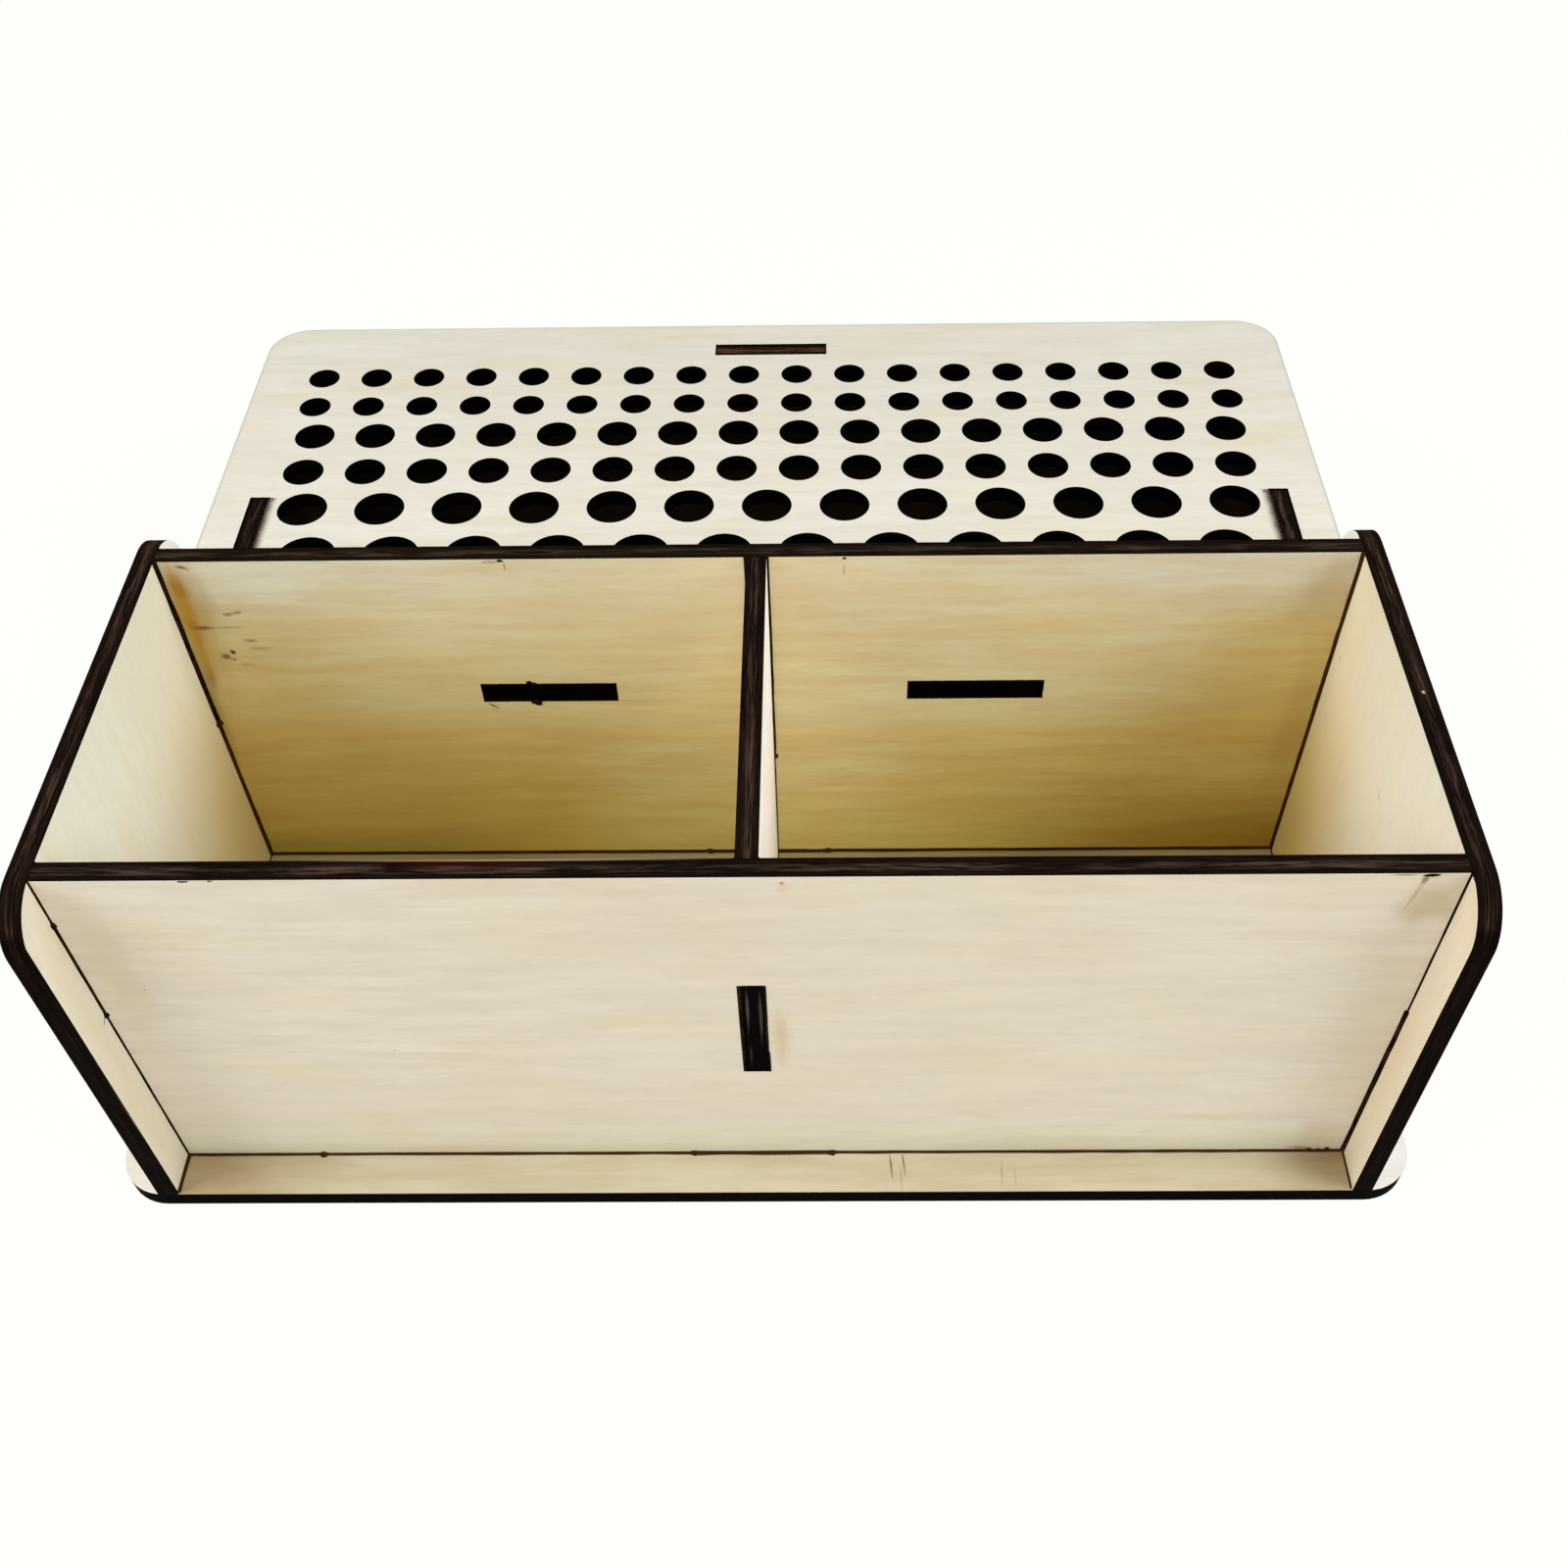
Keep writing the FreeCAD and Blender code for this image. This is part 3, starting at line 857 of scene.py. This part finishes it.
def fibre_material():
    """Torn wood fibre, scorched brown."""
    graph = Graph("torn_fibre")
    place = graph.position()
    patch = graph.noise(graph.combine(*place), 1.2, 3.0)
    colour = graph.mix(graph.ramp(patch, 0.35, 0.7), linear(112, 80, 42), linear(80, 54, 26))
    return graph.finish(colour, graph.ramp(patch, 0.3, 0.7, 0.8, 0.9))


def unit(axis, sign):
    """Unit vector along an axis, either way."""
    direction = Vector((0.0, 0.0, 0.0))
    direction[axis] = sign
    return direction


def skin(mesh, rings):
    """Close a run of equal rings of vertices into one solid."""
    for ring, after in zip(rings, rings[1:]):
        for i in range(len(ring)):
            j = (i + 1) % len(ring)
            mesh.faces.new((ring[i], ring[j], after[j], after[i]))
    mesh.faces.new(rings[0])
    mesh.faces.new(rings[-1])


# A strip is sunk into both faces. A tooth is the wider spot at a slot's end.
STRIP_STEP = 4.5
STRIP_SINK = 0.03
UNEVEN = (0.88, 1.12)
TAB_SWELL = 1.35
TOOTH_SWELL = 0.36
TOOTH_HALF = 0.5
TOOTH_OFFSETS = (-0.9, -0.35, 0.35, 0.9)


def strip_places(length, teeth):
    """Places of a strip's cross-sections: evenly spaced, and closer round each tooth."""
    steps = max(2, int(length / STRIP_STEP))
    places = [length * i / steps for i in range(steps + 1)]
    places += [tooth + offset for tooth in teeth for offset in TOOTH_OFFSETS]
    return sorted(p for p in places if 0.0 <= p <= length)


def strip_leg(place, leg, teeth):
    """Leg of a strip at a place: wider along a tab, and widest at a tooth."""
    if any(abs(place - tooth) < TOOTH_HALF for tooth in teeth):
        return leg + TOOTH_SWELL
    if len(teeth) > 1 and teeth[-2] < place < teeth[-1]:
        return leg * TAB_SWELL
    return leg


def corner_strip(mesh, draw, start, end, first, second, leg, teeth):
    """Uneven three-sided strip of soot along a corner between two faces.

    first and second point away from the corner along the two faces. teeth are places
    along the strip, in millimetres from its start, where a slot's end makes it wider.
    """
    start = Vector(start)
    run = Vector(end) - start
    length = run.length
    run.normalize()
    rings = []
    for place in strip_places(length, teeth):
        wide = strip_leg(place, leg, teeth)
        corner = start + run * place - (first + second) * STRIP_SINK
        reach_first = corner + first * wide * draw.uniform(*UNEVEN)
        reach_second = corner + second * wide * draw.uniform(*UNEVEN)
        rings.append([mesh.verts.new(p / MM) for p in (corner, reach_first, reach_second)])
    skin(mesh, rings)


def new_piece(name, mesh, material):
    """Turn a bmesh into an object that rides on the root body."""
    bmesh.ops.recalc_face_normals(mesh, faces=mesh.faces)
    data = bpy.data.meshes.new(name)
    mesh.to_mesh(data)
    mesh.free()
    data.materials.append(material)
    made = bpy.data.objects.new(name, data)
    bpy.context.scene.collection.objects.link(made)
    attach(made, "root")


FORWARD, BACKWARD = unit(Y, -1), unit(Y, 1)
UP, DOWN = unit(Z, 1), unit(Z, -1)
LEFTWARD, RIGHTWARD = unit(X, -1), unit(X, 1)
FRONT_TEETH = [FRONT_TAB_HEIGHT - TAB / 2 - FLOOR, FRONT_TAB_HEIGHT + TAB / 2 - FLOOR]
SLOT_TEETH = [HALF_INNER - TAB / 2, HALF_INNER + TAB / 2]


def front_seams():
    """Seams of the front panel with the base and the side panels."""
    face, back, side = FRONT_FACE, FRONT_BACK, HALF_INNER
    tab_foot = FRONT_TAB_HEIGHT - TAB / 2
    strips = [
        ((-side, face, FLOOR), (side, face, FLOOR), FORWARD, UP, 0.52, [28.0] + SLOT_TEETH),
        ((-side, back, FLOOR), (-HALF_THICKNESS, back, FLOOR), BACKWARD, UP, 0.38, []),
        ((HALF_THICKNESS, back, FLOOR), (side, back, FLOOR), BACKWARD, UP, 0.38, []),
        ((-side, face, FLOOR), (-side, face, tab_foot), FORWARD, RIGHTWARD, 0.38, []),
        ((-side, face, tab_foot), (-side, face, RIM), FORWARD, RIGHTWARD, 0.34, [0.6, TAB]),
        ((side, face, FLOOR), (side, face, tab_foot), FORWARD, LEFTWARD, 0.7, []),
        ((side, face, tab_foot), (side, face, RIM), FORWARD, LEFTWARD, 0.36, []),
    ]
    for sign, inward in ((-1, RIGHTWARD), (1, LEFTWARD)):
        x = sign * side
        strips.append(((x, back, FLOOR), (x, back, RIM), BACKWARD, inward, 0.36, FRONT_TEETH))
    return strips


def wall_seams():
    """Seams of the bin wall with the base, the side panels and the rack plate."""
    face, back, side = WALL_FACE, WALL_BACK, HALF_INNER
    tab_top = WALL_TAB_HEIGHT + TAB / 2
    foot = FLOOR + 0.4
    strips = [
        ((-side, face, foot), (-HALF_THICKNESS, face, foot), FORWARD, UP, 0.5, SLOT_TEETH[:1]),
        ((HALF_THICKNESS, face, foot), (side, face, foot), FORWARD, UP, 0.5, [TAB / 2 - HALF_THICKNESS]),
        ((-side, face, FLOOR), (-side, face, tab_top), FORWARD, RIGHTWARD, 0.72, []),
        ((-side, face, tab_top), (-side, face, RIM), FORWARD, RIGHTWARD, 0.8, [0.4]),
        ((side, face, FLOOR), (side, face, RIM), FORWARD, LEFTWARD, 0.7, []),
        ((-side, back, PLATE_TOP), (side, back, PLATE_TOP), BACKWARD, UP, 0.3, []),
    ]
    for sign, inward in ((-1, RIGHTWARD), (1, LEFTWARD)):
        x = sign * side
        strips.append(((x, back, PLATE_TOP), (x, back, RIM), BACKWARD, inward, 0.32, []))
    return strips


def divider_seams():
    """Seams of the divider with the base, the front panel and the wall."""
    tick = FLOOR + 33.0
    strips = []
    for sign, outward in ((-1, LEFTWARD), (1, RIGHTWARD)):
        x = sign * HALF_THICKNESS
        strips.append(((x, WALL_FACE, FLOOR), (x, WALL_FACE, tick), FORWARD, outward, 0.36, []))
        strips.append(((x, WALL_FACE, tick), (x, WALL_FACE, RIM), FORWARD, outward, 0.56, [0.4]))
        strips.append(((x, FRONT_BACK, FLOOR), (x, FRONT_BACK, RIM), BACKWARD, outward, 0.32, []))
        strips.append(((x, FRONT_BACK, FLOOR), (x, WALL_FACE, FLOOR), outward, UP, 0.32, []))
    return strips


def side_seams():
    """Seams of the side panels with the base and the rack plate."""
    strips = []
    for sign, inward in ((-1, RIGHTWARD), (1, LEFTWARD)):
        inner, outer = sign * HALF_INNER, sign * HALF_OUTER
        outward = -inward
        front, back = -HALF_DEPTH + 0.4, HALF_DEPTH - 0.4
        wide = 0.66 if sign < 0 else 0.4
        strips.append(((inner, front, FLOOR), (inner, FRONT_FACE, FLOOR), inward, UP, wide, []))
        strips.append(((inner, FRONT_BACK, FLOOR), (inner, WALL_FACE, FLOOR), inward, UP, 0.36, []))
        strips.append(((inner, REAR_BACK, FLOOR), (inner, back, FLOOR), inward, UP, 0.32, []))
        strips.append(((outer, front, FLOOR), (outer, back, FLOOR), outward, UP, 0.34, []))
        under = PLATE_UNDERSIDE
        strips.append(((outer, SHOULDER, under), (outer, back, under), outward, DOWN, 0.3, []))
    return strips


def rear_seams():
    """Seams of the rear panel with the base, the side panels and the rack plate."""
    back, side = REAR_BACK, HALF_INNER
    strips = [
        ((-side, back, FLOOR), (side, back, FLOOR), BACKWARD, UP, 0.34, SLOT_TEETH),
        ((-side, back, PLATE_UNDERSIDE), (side, back, PLATE_UNDERSIDE), BACKWARD, DOWN, 0.3, []),
    ]
    for sign, inward in ((-1, RIGHTWARD), (1, LEFTWARD)):
        x = sign * side
        strips.append(((x, back, FLOOR), (x, back, PLATE_UNDERSIDE), BACKWARD, inward, 0.3, []))
    return strips


def seams(soot):
    """All burnt seams, one piece for each sheet that they border."""
    draw = random.Random(SEAM_SEED)
    groups = (
        ("front_panel_seams", front_seams(), "plywood_front"),
        ("bin_wall_seams", wall_seams(), "plywood_wall"),
        ("divider_seams", divider_seams(), "plywood_front"),
        ("side_panel_seams", side_seams(), "plywood_side"),
        ("rear_panel_seams", rear_seams(), "plywood_side"),
    )
    for name, strips, slot in groups:
        mesh = bmesh.new()
        for start, end, first, second, leg, teeth in strips:
            corner_strip(mesh, draw, start, end, first, second, leg, teeth)
        new_piece(name, mesh, soot)


# ---------------------------------------------------------------- crumbs and splinters

PATCH_SINK = 0.02
PATCH_PROUD = 0.05


def crumb(mesh, draw, place, size):
    """Small rough flake: an uneven, flattened ball."""
    made = bmesh.ops.create_icosphere(mesh, subdivisions=1, radius=1.0)
    for vertex in made["verts"]:
        rough = draw.uniform(0.7, 1.2)
        vertex.co = Vector((vertex.co[i] * size[i] * rough + place[i]) / MM for i in range(3))


def splinter(mesh, points, widths):
    """Flat torn fibre through points on the wall's face, tapering as its widths say."""
    rings = []
    for i, (x, y, z) in enumerate(points):
        before = Vector(points[max(i - 1, 0)])
        after = Vector(points[min(i + 1, len(points) - 1)])
        run = (after - before).normalized()
        aside = run.cross(FORWARD).normalized() * widths[i] / 2
        depth = FORWARD * widths[i] * 0.3
        middle = Vector((x, y, z))
        corners = (middle - aside, middle + depth, middle + aside, middle - depth)
        rings.append([mesh.verts.new(c / MM) for c in corners])
    skin(mesh, rings)


def scorch_patch(mesh, outline, y):
    """Thin flat flake of char on a face that looks forward: its outline is in (x, z)."""
    back = [mesh.verts.new(Vector((x, y + PATCH_SINK, z)) / MM) for x, z in outline]
    front = [mesh.verts.new(Vector((x, y - PATCH_PROUD, z)) / MM) for x, z in outline]
    skin(mesh, (back, front))


def slot_scorch(mesh):
    """Char beside the front panel's slot: a wedge on its left, a step at its lower right."""
    half_width, half_height = HALF_THICKNESS + SLOT_PLAY, TAB / 2 + SLOT_PLAY
    left, right = -half_width, half_width
    top, foot = FRONT_SLOT_HEIGHT + half_height, FRONT_SLOT_HEIGHT - half_height
    wedge = [(left + 0.1, top), (left - 0.64, top + 0.05), (left - 0.6, top - 8.0), (left - 0.56, top - 16.0)]
    wedge += [(left - 0.5, foot + 5.0), (left - 0.46, foot), (left + 0.1, foot)]
    scorch_patch(mesh, wedge, FRONT_FACE)
    step = [(right - 0.1, foot), (right + 0.3, foot - 0.05), (right + 0.28, foot + 4.0)]
    step += [(right + 0.24, foot + 6.8), (right - 0.1, foot + 7.0)]
    scorch_patch(mesh, step, FRONT_FACE)


def front_flakes(draw, soot):
    """Char flakes along the front panel's rim, its foot and its slot."""
    mesh = bmesh.new()
    for place, size in (
        ((-92.4, FRONT_FACE - 0.05, RIM - 0.3), (0.9, 0.1, 0.2)),
        ((-87.9, FRONT_FACE - 0.05, RIM - 0.2), (0.5, 0.1, 0.14)),
        ((111.7, FRONT_FACE - 0.05, RIM - 0.5), (1.6, 0.14, 0.4)),
        ((114.5, FRONT_FACE - 0.2, FLOOR + 0.9), (0.6, 0.3, 0.7)),
        ((112.8, FRONT_FACE - 0.2, FLOOR + 0.6), (0.5, 0.3, 0.5)),
        ((110.9, FRONT_FACE - 0.2, FLOOR + 0.6), (0.8, 0.3, 0.5)),
    ):
        crumb(mesh, draw, place, size)
    slot_scorch(mesh)
    new_piece("front_char_flakes", mesh, soot)


def wall_flakes(draw, soot):
    """Char flakes at the bin wall's rim, its foot and its left slot."""
    mesh = bmesh.new()
    for place, size in (
        ((-50.1, WALL_FACE - 0.02, RIM - 0.4), (0.8, 0.08, 0.3)),
        ((17.2, WALL_FACE - 0.02, RIM - 0.45), (0.5, 0.08, 0.38)),
        ((-51.0, WALL_FACE - 0.25, FLOOR + 0.6), (1.5, 0.3, 0.45)),
        ((-48.9, WALL_FACE - 0.1, 60.9), (0.8, 0.2, 0.75)),
        ((-48.1, WALL_FACE - 0.1, 60.6), (0.9, 0.2, 0.6)),
        ((-48.4, WALL_FACE - 0.2, 55.4), (0.9, 0.3, 0.9)),
        ((-47.7, WALL_FACE - 0.2, 54.9), (0.8, 0.3, 0.8)),
    ):
        crumb(mesh, draw, place, size)
    new_piece("wall_char_flakes", mesh, soot)


def wall_splinter():
    """Torn fibre under the bin wall's left slot."""
    mesh = bmesh.new()
    proud = WALL_FACE - 0.08
    run = [(-58.3, proud, 54.9), (-57.4, WALL_FACE - 0.16, 54.1), (-56.5, proud, 53.4)]
    splinter(mesh, run, [0.2, 0.34, 0.16])
    new_piece("torn_fibre", mesh, fibre_material())


seam_soot = soot_material()
seams(seam_soot)
crumb_draw = random.Random(CRUMB_SEED)
front_flakes(crumb_draw, seam_soot)
wall_flakes(crumb_draw, seam_soot)
wall_splinter()


# ---------------------------------------------------------------- studio, in metres and watts

BACKDROP = (1.0, 1.0, 0.965, 1.0)
FLOOR_SIZE = 8.0
FLOOR_MATT = (0.9, 0.9, 0.88, 1.0)
FLOOR_GLOW = 0.95
AMBIENT = 0.22
AIM_POINT = Vector((0.0, 0.0, 0.04))
# Each softbox: name, place, size and power.
SOFTBOXES = (
    ("front_softbox", (0.0, -0.9, 0.95), 0.7, 3.0),
    ("left_softbox", (-0.977, -0.262, 0.775), 0.9, 13.2),
    ("right_softbox", (0.977, -0.262, 0.775), 0.9, 13.2),
)


def floor():
    """Pale floor that keeps the object's soft shadow."""
    bpy.ops.mesh.primitive_plane_add(size=FLOOR_SIZE, location=(0.0, 0.0, 0.0))
    ground = bpy.context.object
    ground.name = "floor"
    graph = Graph("floor_white")
    matt = graph.node("ShaderNodeBsdfDiffuse")
    matt.inputs["Color"].default_value = FLOOR_MATT
    glow = graph.node("ShaderNodeEmission")
    glow.inputs["Color"].default_value = BACKDROP
    path = graph.node("ShaderNodeLightPath")
    both = graph.node("ShaderNodeMixShader")
    graph.plug(both.inputs[0], graph.mul(path.outputs["Is Camera Ray"], FLOOR_GLOW))
    graph.plug(both.inputs[1], matt.outputs[0])
    graph.plug(both.inputs[2], glow.outputs[0])
    out = graph.node("ShaderNodeOutputMaterial")
    graph.plug(out.inputs["Surface"], both.outputs[0])
    ground.data.materials.append(graph.material)


def world():
    """Even white surroundings, full white where the camera or a gloss sees them."""
    made = bpy.data.worlds.new("studio")
    bpy.context.scene.world = made
    made.use_nodes = True
    tree = made.node_tree
    tree.nodes.clear()
    path = tree.nodes.new("ShaderNodeLightPath")
    seen = tree.nodes.new("ShaderNodeMath")
    seen.operation = "MAXIMUM"
    tree.links.new(path.outputs["Is Camera Ray"], seen.inputs[0])
    tree.links.new(path.outputs["Is Glossy Ray"], seen.inputs[1])
    strength = tree.nodes.new("ShaderNodeMapRange")
    tree.links.new(seen.outputs[0], strength.inputs["Value"])
    strength.inputs["To Min"].default_value = AMBIENT
    strength.inputs["To Max"].default_value = 1.0
    sky = tree.nodes.new("ShaderNodeBackground")
    sky.inputs["Color"].default_value = BACKDROP
    tree.links.new(strength.outputs["Result"], sky.inputs["Strength"])
    out = tree.nodes.new("ShaderNodeOutputWorld")
    tree.links.new(sky.outputs[0], out.inputs["Surface"])


def softbox(name, place, size, power):
    """Square area light at a place, aimed at the middle of the object."""
    lamp = bpy.data.lights.new(name, "AREA")
    lamp.shape = "SQUARE"
    lamp.size = size
    lamp.energy = power
    made = bpy.data.objects.new(name, lamp)
    made.location = place
    aim = AIM_POINT - Vector(place)
    made.rotation_mode = "QUATERNION"
    made.rotation_quaternion = aim.to_track_quat("-Z", "Y")
    bpy.context.scene.collection.objects.link(made)


# The camera as fitted to the photograph, in its pixels, metres and radians.
PHOTO_SIDE = 1600.0
FOCAL_PIXELS = 1685.18
MIDDLE_COLUMN = 817.73
CAMERA_PLACE = (0.0126057, -0.2677824, 0.3072042)
CAMERA_TURN = (0.7208299, 0.0139677, 0.0034350)
SENSOR_WIDTH = 36.0
CLIP_START = 0.01


def camera():
    """Camera at the photograph's viewing angle."""
    lens = bpy.data.cameras.new("camera")
    lens.sensor_width = SENSOR_WIDTH
    lens.lens = FOCAL_PIXELS / PHOTO_SIDE * SENSOR_WIDTH
    lens.shift_x = (PHOTO_SIDE / 2 - MIDDLE_COLUMN) / PHOTO_SIDE
    lens.clip_start = CLIP_START
    made = bpy.data.objects.new("camera", lens)
    made.location = CAMERA_PLACE
    made.rotation_euler = CAMERA_TURN
    bpy.context.scene.collection.objects.link(made)
    bpy.context.scene.camera = made


floor()
world()
for name, place, size, power in SOFTBOXES:
    softbox(name, place, size, power)
camera()
bpy.context.scene.view_settings.view_transform = "Standard"
